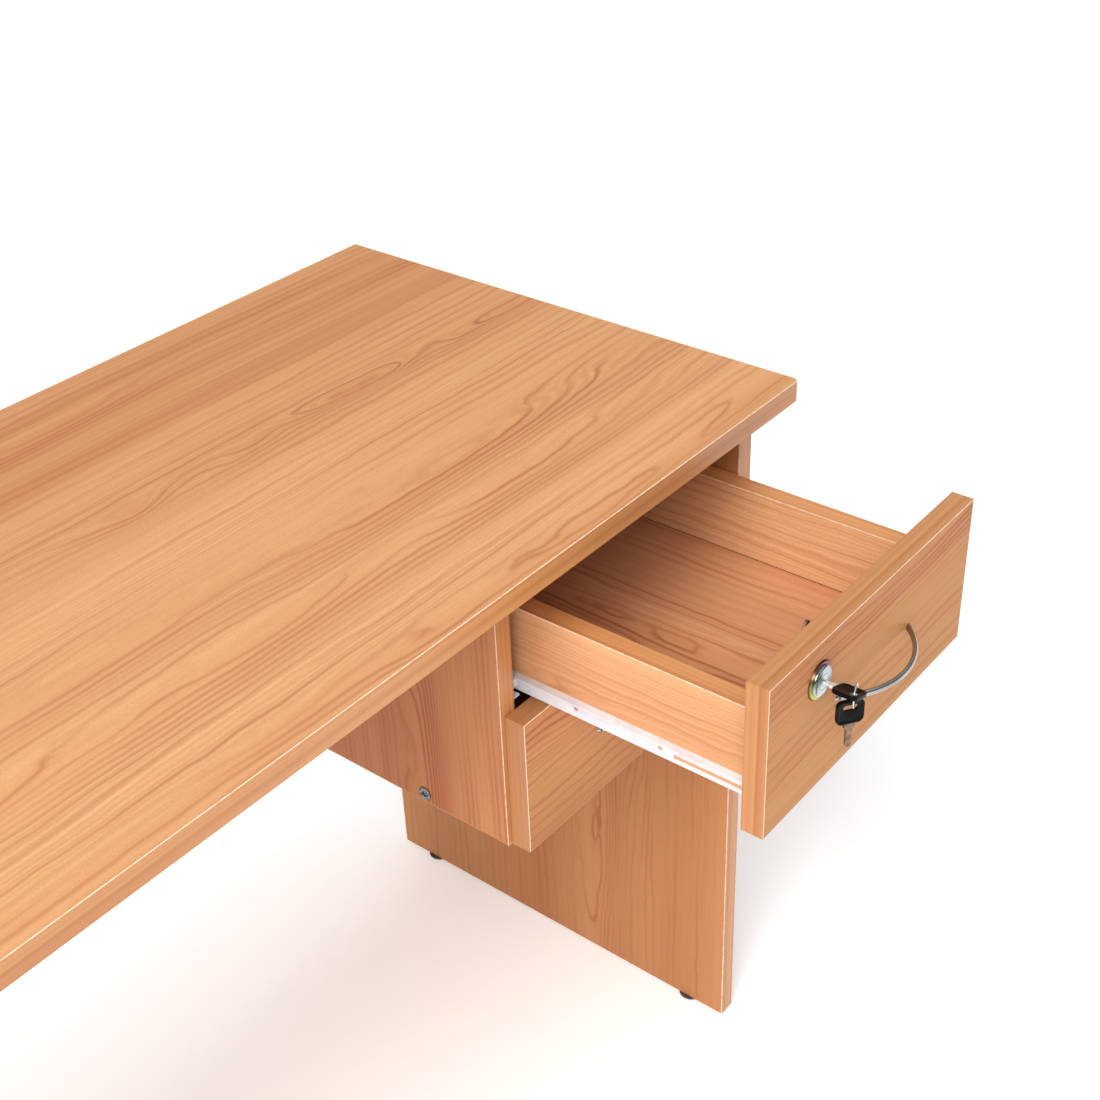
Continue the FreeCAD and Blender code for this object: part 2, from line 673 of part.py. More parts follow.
def lock(drawer):
    """Cam lock: rose, case and nut on the drawer front, and the plug that carries the cam."""
    face = drawer.face
    axis = vector(front_left + lock_from_front_edge, 0, drawer.front_top - lock_below_front_top)

    def at(depth):
        """A point on the lock's axis, this far behind the drawer front's face."""
        return vector(axis.x, face + depth, axis.z)

    rear = board + lock_nut_thickness + lock_cam_gap
    nose = -rose_thickness - lock_face_height
    rose = cone(rose_radius, rose_radius - rose_thickness / 2, at(0), at(-rose_thickness))
    rose_hole = rod(lock_barrel_radius + fit_clearance, at(0), at(-rose_thickness))
    table.add("lock_rose", drill(rose, [rose_hole]))
    flange = cone(lock_face_radius, lock_face_small_radius, at(-rose_thickness), at(nose))
    barrel = rod(lock_barrel_radius, at(-rose_thickness), at(rear - fit_clearance))
    plug_bore = rod(plug_radius + axle_clearance, at(nose), at(rear))
    table.add("lock_case", drill(join(flange, barrel), [plug_bore]))
    hex_points = [at(board) + turned_offset(lock_nut_radius, 60 * corner) for corner in range(7)]
    nut = Part.Face(Part.makePolygon(hex_points)).extrude(along_y * lock_nut_thickness)
    nut_bore = rod(lock_barrel_radius + fit_clearance, at(board), at(board + lock_nut_thickness))
    table.add("lock_nut", drill(nut, [nut_bore]))
    table.cut(drawer.name + "_front", rod(lock_barrel_radius + handle_hole_clearance, at(0), at(board)))

    keyway_depth = key_insertion + key_slot_clearance
    plug = rod(plug_radius, at(nose), at(rear))
    stub = rod(plug_stub_radius, at(rear), at(rear + lock_cam_thickness))
    keyway = block((axis.x - key_blade_width / 2 - key_slot_clearance,
                    axis.x + key_blade_width / 2 + key_slot_clearance),
                   (face + nose, face + nose + keyway_depth),
                   (axis.z - key_blade_thickness / 2 - key_slot_clearance,
                    axis.z + key_blade_thickness / 2 + key_slot_clearance))
    keyway = turned(keyway, at(0), along_y, key_tilt)
    cam_back = rear + lock_cam_thickness
    screw_bore = rod(cam_screw_radius + fit_clearance, at(cam_back - cam_screw_length), at(cam_back))
    table.add("lock_plug", drill(join(plug, stub), [keyway, screw_bore]))
    boss = rod(lock_cam_half_width, at(rear), at(cam_back))
    tip_radius = lock_cam_half_width / 2
    tip_centre = at(rear) + along_x * (lock_cam_length - tip_radius)
    tip = rod(tip_radius, tip_centre, tip_centre + along_y * lock_cam_thickness)
    arm_outline = [at(rear) + along_z * lock_cam_half_width, at(rear) - along_z * lock_cam_half_width,
                   tip_centre - along_z * tip_radius, tip_centre + along_z * tip_radius]
    arm = Part.Face(Part.makePolygon(arm_outline + arm_outline[:1])).extrude(along_y * lock_cam_thickness)
    cam_bore = rod(plug_stub_radius + fit_clearance, at(rear), at(cam_back))
    cam = drill(join(boss, arm, tip), [cam_bore])
    table.add("lock_cam", turned(cam, at(0), along_y, lock_cam_turn - 90))
    lock_slot(axis, leg_front_setback + rear)
    screw_head = rod(cam_screw_head_radius, at(cam_back), at(cam_back + cam_screw_head_height))
    screw_shank = rod(cam_screw_radius, at(cam_back + fit_clearance - cam_screw_length),
                      at(cam_back + cam_screw_head_height / 2))
    table.add("lock_cam_screw", join(screw_head, screw_shank))
    return axis, at(nose - key_neck_length)


def lock_slot(axis, cam_front):
    """The slot under the rail that the cam turns up into when the drawer is shut."""
    rise = desktop_bottom - front_rail_depth - axis.z
    if lock_cam_length < rise:
        return
    reach = math.sqrt(lock_cam_length ** 2 - rise ** 2) + lock_cam_half_width
    slot = block((axis.x - lock_cam_half_width - lock_slot_clearance, axis.x + reach + lock_slot_clearance),
                 (cam_front - lock_slot_clearance / 2, cam_front + lock_cam_thickness + lock_slot_clearance / 2),
                 (desktop_bottom - front_rail_depth, axis.z + lock_cam_length + lock_slot_clearance))
    table.cut("pedestal_front_rail", slot)


def turned_offset(radius, angle):
    return vector(radius * math.cos(math.radians(angle)), 0, radius * math.sin(math.radians(angle)))


def key_shapes():
    """Blade and head of a key lying in the XY plane: the head starts at the origin and runs to -Y."""
    half = key_head_thickness / 2
    head = block((-key_head_width / 2, key_head_width / 2), (-key_head_length, 0), (-half, half))
    head = head.makeFillet(key_head_corner_radius, upright_edges(head))
    level_edges = [edge for edge in head.Edges if edge.BoundBox.ZLength < half]
    head = head.makeFillet(key_head_edge_radius, level_edges)
    eye_y = -key_head_length + key_eye_from_end
    end = key_eye_width / 2 - key_eye_height / 2
    eye = block((-end, end), (eye_y - key_eye_height / 2, eye_y + key_eye_height / 2), (-half, half))
    rounds = [rod(key_eye_height / 2, vector(x, eye_y, -half), vector(x, eye_y, half)) for x in (-end, end)]
    half_width = key_blade_width / 2
    half_blade = key_blade_thickness / 2
    pocket = block((-half_width - fit_clearance, half_width + fit_clearance),
                   (-key_blade_in_head - fit_clearance, 0),
                   (-half_blade - fit_clearance, half_blade + fit_clearance))
    head = drill(head, [eye] + rounds + [pocket])
    blade_end = key_neck_length + key_insertion
    blade = block((-half_width, half_width), (-key_blade_in_head, blade_end), (-half_blade, half_blade))
    shoulder = block((-key_shoulder_width / 2, key_shoulder_width / 2), (0, key_shoulder_length),
                     (-half_blade, half_blade))
    blade = join(blade, shoulder)
    tip_edges = [edge for edge in upright_edges(blade) if edge.BoundBox.YMin > key_neck_length]
    return blade.makeFillet(key_tip_radius, tip_edges), head


def placed_key(shape, turns, place):
    """A key piece after its turns about the origin, moved to its place."""
    copy = shape.copy()
    for axis, angle in turns:
        copy.rotate(vector(0, 0, 0), axis, angle)
    return moved(copy, place)


def keys(head_start):
    """The key in the lock, the wire loop through its eye, and the spare key on the loop."""
    blade, head = key_shapes()
    in_lock = [(along_y, key_tilt)]
    table.add("key_blade", placed_key(blade, in_lock, head_start))
    table.add("key_head", placed_key(head, in_lock, head_start))

    bridge_width = (key_head_width - key_eye_width) / 2
    bridge = vector(key_eye_width / 2 + bridge_width / 2, -key_head_length + key_eye_from_end, 0)
    tilt = FreeCAD.Rotation(along_y, key_tilt)
    bridge_place = head_start + tilt.multVec(bridge)
    rise = key_head_thickness / 2 + loop_lift + loop_wire_radius
    leg_reach = math.sqrt(loop_radius ** 2 - (loop_radius - rise) ** 2)
    turn = FreeCAD.Rotation(along_z, loop_turn)
    leg_aside = turn.multVec(along_x * leg_reach).y
    loop_pivot = bridge_place + along_y * leg_aside
    loop_centre = loop_pivot + along_z * (rise - loop_radius)
    loop_axis = turn.multVec(along_y)
    table.add("key_loop", Part.makeTorus(loop_radius, loop_wire_radius, loop_centre, loop_axis))

    hang = loop_centre - along_z * (loop_radius - loop_wire_radius)
    eye_top = -key_head_length + key_eye_from_end - key_eye_height / 2
    hanging = [(along_x, -90), (along_z, spare_key_turn)]
    held_point = placed_key(Part.Vertex(spare_key_aside, eye_top, 0), hanging, vector(0, 0, 0)).Point
    spare_place = hang - held_point + along_z * loop_eye_gap
    table.add("spare_key_blade", placed_key(blade, hanging, spare_place))
    table.add("spare_key_head", placed_key(head, hanging, spare_place))
    return loop_pivot, loop_centre


desktop()
leg_panels()
modesty_panel()
pedestal()
carcass_fixings()
for drawer in drawers:
    drawer_panels(drawer)
    handle(drawer)
    drawer_runners(drawer)
    cabinet_runners(drawer)
lock_axis, key_head_start = lock(top_drawer)
loop_pivot, loop_middle = keys(key_head_start)

# The row's origin is on the floor under the middle of the whole object's box.
everything = Part.makeCompound([shape for shapes in table.nodes.values() for shape in shapes])
box = everything.BoundBox
origin_shift = vector(0, -(box.YMin + box.YMax) / 2, -box.ZMin)

os.makedirs("parts", exist_ok=True)
for name, shapes in table.nodes.items():
    node = Part.makeCompound(shapes) if len(shapes) > 1 else shapes[0]
    moved(node, origin_shift).exportStep("parts/" + name + ".step")
    print(name, len(shapes), all(shape.isValid() for shape in shapes))
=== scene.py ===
"""A study table in printed board with a hung pedestal of two drawers, dressed piece by piece in the
order that it is put together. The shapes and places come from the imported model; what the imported
model keeps plain, the handles, the lock and the keys, is modelled here."""
import math

import bmesh
import bpy
from mathutils import Matrix, Vector


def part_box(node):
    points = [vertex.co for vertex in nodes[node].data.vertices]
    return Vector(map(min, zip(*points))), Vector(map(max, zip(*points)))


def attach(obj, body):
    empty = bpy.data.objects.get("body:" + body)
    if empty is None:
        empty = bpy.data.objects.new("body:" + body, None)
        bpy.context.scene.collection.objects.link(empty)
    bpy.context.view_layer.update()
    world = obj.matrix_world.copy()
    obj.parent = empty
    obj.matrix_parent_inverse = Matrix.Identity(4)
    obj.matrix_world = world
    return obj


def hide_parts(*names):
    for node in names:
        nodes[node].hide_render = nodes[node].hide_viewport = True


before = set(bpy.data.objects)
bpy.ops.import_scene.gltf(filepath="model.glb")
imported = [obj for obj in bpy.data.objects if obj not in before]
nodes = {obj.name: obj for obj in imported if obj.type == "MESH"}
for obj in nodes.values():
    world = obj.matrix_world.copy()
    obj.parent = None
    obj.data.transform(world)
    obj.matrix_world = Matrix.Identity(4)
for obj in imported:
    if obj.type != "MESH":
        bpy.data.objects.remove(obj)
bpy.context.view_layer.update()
bpy.ops.object.select_all(action="DESELECT")


# The two legs, the modesty panel and the pedestal's boards: particle board with a beech print on both
# faces under a satin resin film, sawn to size. The chipboard core shows where an edge has no band and
# inside the drilled holes.
class Socket:
    """One socket of a shader. Sums and products on it add Math nodes."""

    def __init__(self, tree, socket):
        self.tree = tree
        self.socket = socket

    def node(self, kind, settings, inputs, output=0):
        """Adds a node: its settings first, then the values or links of its sockets."""
        made = self.tree.nodes.new(kind)
        for name, value in settings.items():
            setattr(made, name, value)
        for name, value in inputs.items():
            if isinstance(value, Socket):
                self.tree.links.new(value.socket, made.inputs[name])
            else:
                made.inputs[name].default_value = value
        return Socket(self.tree, made.outputs[output])

    def maths(self, operation, *values):
        return self.node("ShaderNodeMath", {"operation": operation}, dict(enumerate(values)))

    def __add__(self, other):
        return self.maths("ADD", self, other)

    def __radd__(self, other):
        return self.maths("ADD", other, self)

    def __sub__(self, other):
        return self.maths("SUBTRACT", self, other)

    def __rsub__(self, other):
        return self.maths("SUBTRACT", other, self)

    def __mul__(self, other):
        return self.maths("MULTIPLY", self, other)

    def __rmul__(self, other):
        return self.maths("MULTIPLY", other, self)

    def __truediv__(self, other):
        return self.maths("DIVIDE", self, other)

    def __abs__(self):
        return self.maths("ABSOLUTE", self)

    def above(self, limit):
        """1 where this is above the limit, else 0."""
        return self.maths("GREATER_THAN", self, limit)

    def rise(self, low, high):
        """0 below low, 1 above high and a smooth slope between."""
        return self.node("ShaderNodeMapRange", {"interpolation_type": "SMOOTHSTEP"},
                         {"Value": self, "From Min": low, "From Max": high})

    def parts(self):
        """The three parts of a vector."""
        return [self.node("ShaderNodeSeparateXYZ", {}, {0: self}, part) for part in range(3)]

    def cloud(self, first, second, third, detail=0.0):
        """Soft noise from 0 to 1. The three lengths are already scaled to the size of its grains."""
        where = self.node("ShaderNodeCombineXYZ", {}, {0: first, 1: second, 2: third})
        return self.node("ShaderNodeTexNoise", {}, {"Vector": where, "Scale": 1.0, "Detail": detail})

    def grains(self, scale, detail):
        """Soft noise over a place, with grains that are as long as they are wide, scale to a metre."""
        x, y, z = self.parts()
        return self.cloud(x * scale, y * scale, z * scale, detail)

    def blend(self, first, second):
        """The first colour where this is 0 and the second where it is 1."""
        return self.node("ShaderNodeMix", {"data_type": "RGBA"}, {0: self, 6: first, 7: second}, 2)


def seen(red, green, blue):
    """A colour as read off a picture, from 0 to 255, as the shader takes it."""
    return tuple(((part / 255 + 0.055) / 1.055) ** 2.4 for part in (red, green, blue)) + (1.0,)


def new_finish(name):
    """An empty material, the place of each point on the object and the way its surface faces."""
    material = bpy.data.materials.new(name)
    material.use_nodes = True
    coordinates = material.node_tree.nodes.new("ShaderNodeTexCoord")
    place = Socket(material.node_tree, coordinates.outputs["Object"])
    facing = Socket(material.node_tree, coordinates.outputs["Normal"])
    return material, place, facing


def set_finish(material, fixed, varying, relief=None, depth=0.0):
    """Sets the shader's fixed values and links what varies; relief is a height, depth its size."""
    shader = material.node_tree.nodes["Principled BSDF"]
    for name, value in fixed.items():
        shader.inputs[name].default_value = value
    for name, value in varying.items():
        material.node_tree.links.new(value.socket, shader.inputs[name])
    if relief is not None:
        bump = relief.node("ShaderNodeBump", {}, {"Strength": 1.0, "Distance": depth, "Height": relief})
        material.node_tree.links.new(bump.socket, shader.inputs["Normal"])


def dress(material, *names):
    for name in names:
        for slot in nodes[name].material_slots:
            slot.material = material


def printed_board(name, axes, seed, pale, deep, shaded=(), flamed=(), joints=(), gloss=0.22,
                  ring_count=104, boldness=1.0):
    """The beech print. axes names the ways along the grain, across it and through the board.

    shaded lists the darker stripes, print bands and painted shade: place across the grain, half width
    and strength. flamed lists the stripes where the rings close into flames: place, half width, rings
    in a flame and its length.
    The third list gives the places across the grain where the board meets the next one, and a dark
    hairline of painted shade is drawn along each. ring_count is the rings in a metre and boldness the
    strength of their lines.
    """
    material, place, facing = new_finish(name)
    letters = dict(zip("XYZ", place.parts()))
    facing_letters = dict(zip("XYZ", facing.parts()))
    along, across, through = [letters[axis] for axis in axes]
    sheet = through * 7 + seed
    drift = place.cloud(along * 1.6, across * 5, sheet + 31, 1) * 0.05 - 0.025
    scattered_flames = 0.0 if flamed else 1.0

    def stripe(at, middle, half):
        """1 along the middle of a stripe that drifts to and fro, falling to 0 at its edges."""
        return 1 - abs(at + drift - middle).rise(0.0, half * 1.6)

    def rings(at):
        """Counts the growth rings across the board: they sway, ripple, and close into flames."""
        sway = place.cloud(along * 0.8, at * 3.5, sheet + 5, 1) * 1.5
        ripple = place.cloud(along * 5, at * 25, sheet + 6, 1) * 0.9
        waver = place.cloud(along * 14, at * 40, sheet + 15, 1) * 0.7
        flames = place.cloud(along * 0.6, at * 11, sheet + 3).rise(0.52, 0.68) * scattered_flames
        tongues = place.cloud(along * 3.6, at * 34, sheet + 8, 1) * flames * 6.5
        count = at * ring_count + sway + ripple + waver + tongues
        for middle, half, height, length in flamed:
            ridge = stripe(at, middle, half)
            swell = place.cloud(along * (1 / length), at * 9, sheet + middle * 40, 1).rise(0.3, 0.7)
            count = count + ridge * swell * height
            flames = flames + ridge * swell
        tremor = place.cloud(along * 45, at * 120, sheet + 13, 1) * 0.3
        return count + tremor, flames

    # A line runs where the count is halfway between two whole numbers. How fast the count grows gives
    # every line the same width, however the rings bend.
    thin_line, wide_line = 0.0018, 0.004
    step_aside = 0.0004
    count, flames = rings(across)
    count_beside = rings(across + step_aside)[0]
    growth = abs(count_beside - count) * (1 / step_aside)
    ring = count.maths("FRACT", count)
    reach = abs(ring - 0.5) / (growth + 30)
    thin = 1 - reach.rise(0.0, thin_line)
    wide = 1 - reach.rise(0.0, wide_line)
    strong = place.cloud(along * 3, across * 60, sheet + 17, 1).rise(0.38, 0.66)

    # Finer lines between the rings, sharp on one side.
    finer = count * 2.4 + place.cloud(along * 1.2, across * 60, sheet + 19, 1) * 2.4
    finer_ring = finer.maths("FRACT", finer)
    finer_line = finer_ring.rise(0.1, 0.6) * (1 - finer_ring.rise(0.6, 1.0))
    finer_strong = place.cloud(along * 1.2, across * 26, sheet + 37, 1).rise(0.35, 0.65)

    # The ground, in broad stripes and fine streaks, with the lines, the fibres and the grit over it.
    # The listed darker stripes are print bands, and painted shade where a board's light falls off.
    tone_and_shade = place.cloud(along * 0.35, across * 10, sheet + 90, 1).rise(0.25, 0.75)
    if shaded:
        tone_and_shade = tone_and_shade * 0.3
        for middle, half, strength in shaded:
            tone_and_shade = tone_and_shade + stripe(across, middle, half) * strength
    streak = place.cloud(along * 1.2, across * 100, sheet + 41, 3)
    ground = (tone_and_shade * 0.65 + streak * 0.35).blend(seen(*pale), seen(*deep))
    ground = (flames * 0.4).blend(ground, seen(206, 138, 92))
    line = thin * (strong * 0.36 + flames * 0.42 + 0.02) + wide * (strong * 0.22 + flames * 0.1 + 0.08)
    spread = 1 - growth.rise(ring_count * 1.6, ring_count * 4) * 0.7
    lined = (line * spread * (boldness * 0.66) + finer_line * finer_strong * 0.22).blend(
        ground, seen(162, 88, 54))
    fibre = place.cloud(along * 9, across * 480, sheet + 23, 2).rise(0.25, 0.75)
    grit = place.cloud(along * 500, across * 800, sheet + 29, 1).rise(0.3, 0.7)
    printed = (fibre * 0.17 + grit * 0.16).blend(lined, seen(180, 114, 72))
    # Painted shade: a dark hairline along each listed place where the board meets the next one.
    for corner_shade_line in joints:
        printed = (1 - abs(across - corner_shade_line).rise(0.0005, 0.0013)).blend(printed, seen(84, 50, 32))

    # Raw chips on the sawn edges and in the holes, which don't face through the board.
    chip_place = place.cloud(along * 420, across * 420, through * 420, 2)
    chips = chip_place.rise(0.4, 0.65).blend(seen(196, 160, 112), seen(142, 104, 66))
    raw = 1 - abs(facing_letters[axes[2]]).above(0.5)
    colour = raw.blend(printed, chips)
    sheen = place.cloud(along * 25, across * 60, sheet) * 0.1 + raw * 0.3 + 0.4
    relief = raw * chip_place * 0.6 + grit * 0.05
    set_finish(material, {"Specular IOR Level": gloss}, {"Base Color": colour, "Roughness": sheen},
               relief, 0.0004)
    return material


upright_board = printed_board("board_print_upright", "ZYX", 2.0, (206, 150, 98), (180, 120, 72))
dress(upright_board, "right_leg_panel", "left_leg_panel")
side_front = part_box("pedestal_side_panel")[0][1]
pedestal_board = printed_board("board_print_pedestal", "ZYX", 5.0, (210, 152, 102), (180, 118, 72),
                               shaded=((side_front + 0.105, 0.05, 1.0), (side_front + 0.19, 0.03, 0.6)),
                               flamed=((side_front + 0.085, 0.022, 4.0, 0.22),
                                       (side_front + 0.15, 0.02, 3.0, 0.3)),
                               ring_count=185, boldness=1.3)
dress(pedestal_board, "pedestal_side_panel")
cross_board = printed_board("board_print_crossways", "XZY", 31.0, (206, 150, 98), (180, 120, 72))
dress(cross_board, "modesty_panel", "pedestal_front_rail")
flat_board = printed_board("board_print_flat", "YXZ", 47.0, (206, 150, 98), (180, 120, 72))
dress(flat_board, "pedestal_bottom_panel")


# The bands of the legs, the modesty panel and the pedestal: 1 mm PVC strip, printed to go with the
# board, glued on and trimmed flush. The trimming bares a thin whitish line of the strip's edge on the
# board's face.
def edge_strip(name, along_axis, across_axis, bare, pale=(214, 153, 98), deep=(186, 120, 70)):
    """bare is a function of the facing and the place that gives 1 on the trimmed white edge."""
    material, place, facing = new_finish(name)
    letters = dict(zip("XYZ", place.parts()))
    along, across = letters[along_axis], letters[across_axis]
    streak = place.cloud(along * 1.5, across * 240, 4.0, 2)
    broad = place.cloud(along * 0.7, across * 90, 9.0, 1)
    fibre = place.cloud(along * 22, across * 1600, 2.0, 1)
    printed = (streak.rise(0.3, 0.7) * 0.6 + broad.rise(0.35, 0.65) * 0.4).blend(
        seen(*pale), seen(*deep))
    printed = (fibre.rise(0.45, 0.8) * 0.25).blend(printed, seen(164, 98, 54))
    white = bare(dict(zip("XYZ", facing.parts())), letters)
    scuffs = place.cloud(along * 160, across * 900, 6.0, 1).rise(0.35, 0.75)
    colour = white.blend(printed, scuffs.blend(seen(242, 218, 192), seen(216, 180, 144)))
    sheen = streak * 0.1 + 0.3
    set_finish(material, {"Specular IOR Level": 0.45}, {"Base Color": colour, "Roughness": sheen},
               fibre * 0.3 + streak * 0.3, 0.0002)
    return material


strip_thickness = 0.0011
leg_inner_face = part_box("right_leg_panel")[0][0]
pedestal_inner_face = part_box("pedestal_side_panel")[1][0]


def bare_on_legs(facing, letters):
    on_modesty = 1 - abs(letters["X"]).above(leg_inner_face - 0.0001)
    return abs(facing["X"]).above(0.5) + abs(facing["Y"]).above(0.5) * on_modesty


def bare_on_pedestal(facing, letters):
    along_front = 1 - letters["Y"].above(side_front)
    past_side = letters["X"].above(pedestal_inner_face + 0.0001)
    return abs(facing["X"]).above(0.5) * along_front + abs(facing["Z"]).above(0.5) * past_side


dress(edge_strip("edge_strip_legs", "Z", "X", bare_on_legs), "leg_and_modesty_edge_bands")
dress(edge_strip("edge_strip_pedestal", "Z", "X", bare_on_pedestal), "pedestal_edge_bands")


# What holds the carcass together: die-cast cams and their bolts, beech dowels in the rail, long
# connecting screws with a cross recess, and the nylon glides that are nailed under the legs.
def metal(name, bright, dull, grain, roughness, depth, plating=1.0):
    material, place, _ = new_finish(name)
    patches = place.grains(grain, 3)
    fine = place.grains(grain * 6, 2)
    colour = patches.rise(0.3, 0.75).blend(seen(*bright), seen(*dull))
    wear = patches * 0.25 + fine * 0.12 + (roughness - 0.18)
    set_finish(material, {"Metallic": plating}, {"Base Color": colour, "Roughness": wear}, fine, depth)
    return material


cast_zinc = metal("cast_zinc", (196, 194, 188), (150, 149, 145), 190, 0.42, 0.0002)
zinc_plate = metal("zinc_plate", (206, 206, 200), (160, 162, 160), 240, 0.3, 0.0001)
dark_steel = metal("screw_steel", (150, 152, 158), (62, 62, 68), 260, 0.24, 0.0001)
dress(cast_zinc, "cam_fittings", "top_drawer_cam_fittings", "bottom_drawer_cam_fittings")
dress(zinc_plate, "connecting_bolts", "top_drawer_cam_bolts", "bottom_drawer_cam_bolts")
dress(dark_steel, "pedestal_screws", "cabinet_runner_screws", "top_drawer_runner_screws",
      "bottom_drawer_runner_screws", "top_drawer_handle_screws", "bottom_drawer_handle_screws")


def dowel_wood(name):
    material, place, _ = new_finish(name)
    x, y, z = place.parts()
    grain = place.cloud(x * 60, y * 60, z * 900, 2)
    colour = grain.rise(0.3, 0.7).blend(seen(224, 190, 140), seen(190, 148, 98))
    set_finish(material, {"Specular IOR Level": 0.2},
               {"Base Color": colour, "Roughness": grain * 0.1 + 0.6}, grain, 0.0003)
    return material


dress(dowel_wood("beech_dowel"), "rail_dowels", "top_drawer_dowels", "bottom_drawer_dowels")


def moulded_plastic(name, pale, deep, roughness, grain, depth, shine=0.5):
    material, place, _ = new_finish(name)
    mottle = place.grains(grain, 3)
    texture = place.grains(grain * 9, 1)
    colour = mottle.rise(0.25, 0.75).blend(seen(*pale), seen(*deep))
    sheen = mottle * 0.12 + texture * 0.06 + (roughness - 0.09)
    set_finish(material, {"Specular IOR Level": shine}, {"Base Color": colour, "Roughness": sheen},
               texture, depth)
    return material


dress(moulded_plastic("glide_plastic", (70, 66, 62), (50, 47, 45), 0.5, 120, 0.0002), "floor_glides")


# The desktop: a thick particle board in the same print, with the grain along its length, banded all
# round with the same strip. It lies on the legs and is pulled down onto them by the cams and bolts.
desktop_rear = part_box("desktop_edge_band")[1][1]
# Darker stripes towards the back: print bands with painted shade over them, as the light falls off
# towards the back. The broad stripe 70 mm from the back edge darkens the whole rear.
desktop_board = printed_board("board_print_desktop", "XYZ", 12.0, (227, 180, 128), (191, 129, 84),
                              shaded=((desktop_rear - 0.078, 0.018, 0.55),
                                      (desktop_rear - 0.125, 0.02, 0.6),
                                      (desktop_rear - 0.04, 0.01, 0.5),
                                      (desktop_rear - 0.07, 0.14, 0.5),
                                      (desktop_rear - 0.225, 0.035, 0.38),
                                      (desktop_rear - 0.37, 0.05, 0.3),
                                      (desktop_rear - 0.485, 0.02, 0.3)),
                              flamed=((desktop_rear - 0.219, 0.013, 3.2, 0.13),
                                      (desktop_rear - 0.357, 0.024, 4.5, 0.4),
                                      (desktop_rear - 0.404, 0.02, 3.2, 0.35),
                                      (desktop_rear - 0.07, 0.016, 2.5, 0.25),
                                      (desktop_rear - 0.483, 0.014, 2.6, 0.25)))
dress(desktop_board, "desktop")


def bare_on_desktop(facing, letters):
    return abs(facing["Z"]).above(0.5)


dress(edge_strip("edge_strip_desktop", "X", "Z", bare_on_desktop), "desktop_edge_band")


# The roller runners, one pair to each drawer: folded sheet steel with a white powder coat, screwed to
# the pedestal's sides and under the drawer's sides, and nylon rollers on riveted axles.
powder_coat = moulded_plastic("runner_powder_coat", (220, 222, 226), (204, 206, 212), 0.42, 70, 0.00015)
dress(powder_coat, "cabinet_runners", "top_drawer_runners", "bottom_drawer_runners")
nylon = moulded_plastic("roller_nylon", (226, 224, 216), (206, 203, 194), 0.4, 110, 0.0001)
dress(nylon, "top_drawer_cabinet_rollers", "bottom_drawer_cabinet_rollers", "top_drawer_rollers",
      "bottom_drawer_rollers")


# The two drawer boxes: thinner boards in the same print, doweled and cammed to the front, banded
# along the top only. A dark hairline of painted shade runs along the base where it meets the sides.
side_board = printed_board("board_print_drawer_sides", "YZX", 63.0, (230, 179, 132), (208, 153, 108),
                           boldness=0.75)
box_low, box_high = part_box("top_drawer_base")
base_board = printed_board("board_print_drawer_bases", "YXZ", 71.0, (222, 166, 124), (194, 136, 96),
                           joints=(box_low[0], box_high[0]), boldness=1.35)
back_board = printed_board("board_print_drawer_backs", "XZY", 83.0, (212, 150, 102), (186, 122, 78))


def bare_on_box(facing, letters):
    return abs(facing["X"]).above(0.5)


box_strip = edge_strip("edge_strip_drawer_box", "Y", "X", bare_on_box)
drawers = ("top_drawer", "bottom_drawer")
for drawer in drawers:
    dress(side_board, drawer + "_left_side", drawer + "_right_side")
    dress(base_board, drawer + "_base")
    dress(back_board, drawer + "_back")
    dress(box_strip, drawer + "_box_edge_bands")


# The drawer fronts: 18 mm board with the grain across, banded on all four edges. The trimming shows
# white along the top and the left edge of each face.
front_board = printed_board("board_print_fronts", "XZY", 95.0, (209, 153, 98), (167, 105, 58),
                            gloss=0.08, boldness=1.1)
for drawer in drawers:
    front_low, front_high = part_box(drawer + "_front_edge_band")

    def bare_on_front(facing, letters):
        over_bottom = letters["Z"].above(front_low[2] + strip_thickness)
        right_strip = letters["X"].above(front_high[0] - strip_thickness)
        return abs(facing["Y"]).above(0.5) * over_bottom * (1 - right_strip)

    dress(front_board, drawer + "_front")
    front_strip = edge_strip("edge_strip_" + drawer + "_front", "X", "Y", bare_on_front,
                             (198, 142, 92), (170, 110, 64))
    dress(front_strip, drawer + "_front_edge_band")


# The bow handles: an oval bar of die-cast zinc, bent to an arc whose ends flare where they meet the
# front, then polished and chromed. A screw from inside the drawer holds each end.
handle_foot = 0.0036
handle_bow_depth = 0.0245
handle_half_height = 0.0027
handle_half_depth = 0.002
handle_bar_sides = 28
handle_flare = 1.8
handle_flare_steps = 6
handle_steps = 30
handle_run_on = 0.09
handle_ring_reach = 0.004


def begin_edit(piece):
    bpy.context.view_layer.objects.active = piece
    bpy.ops.object.mode_set(mode="EDIT")


def pick(piece, kind, test):
    """In edit mode, selects only the vertices, edges or faces that pass the test."""
    bpy.ops.mesh.select_mode(type=kind)
    bpy.ops.mesh.select_all(action="DESELECT")
    mesh = bmesh.from_edit_mesh(piece.data)
    for part in {"VERT": mesh.verts, "EDGE": mesh.edges, "FACE": mesh.faces}[kind]:
        if test(part):
            part.select_set(True)
    bmesh.update_edit_mesh(piece.data)


def finish_piece(piece, name, material, body, replaced):
    """Puts the piece's place in its mesh and hands it to the frame in the CAD node's place."""
    if bpy.context.mode != "OBJECT":
        bpy.ops.object.mode_set(mode="OBJECT")
    bpy.ops.object.select_all(action="DESELECT")
    piece.select_set(True)
    bpy.context.view_layer.objects.active = piece
    for modifier in list(piece.modifiers):
        bpy.ops.object.modifier_apply(modifier=modifier.name)
    bpy.ops.object.transform_apply(location=True, rotation=True, scale=True)
    bpy.ops.object.shade_smooth_by_angle(angle=math.radians(38))
    piece.name = name
    piece.data.name = name
    piece.data.materials.clear()
    piece.data.materials.append(material)
    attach(piece, body)
    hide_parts(replaced)
    bpy.ops.object.select_all(action="DESELECT")


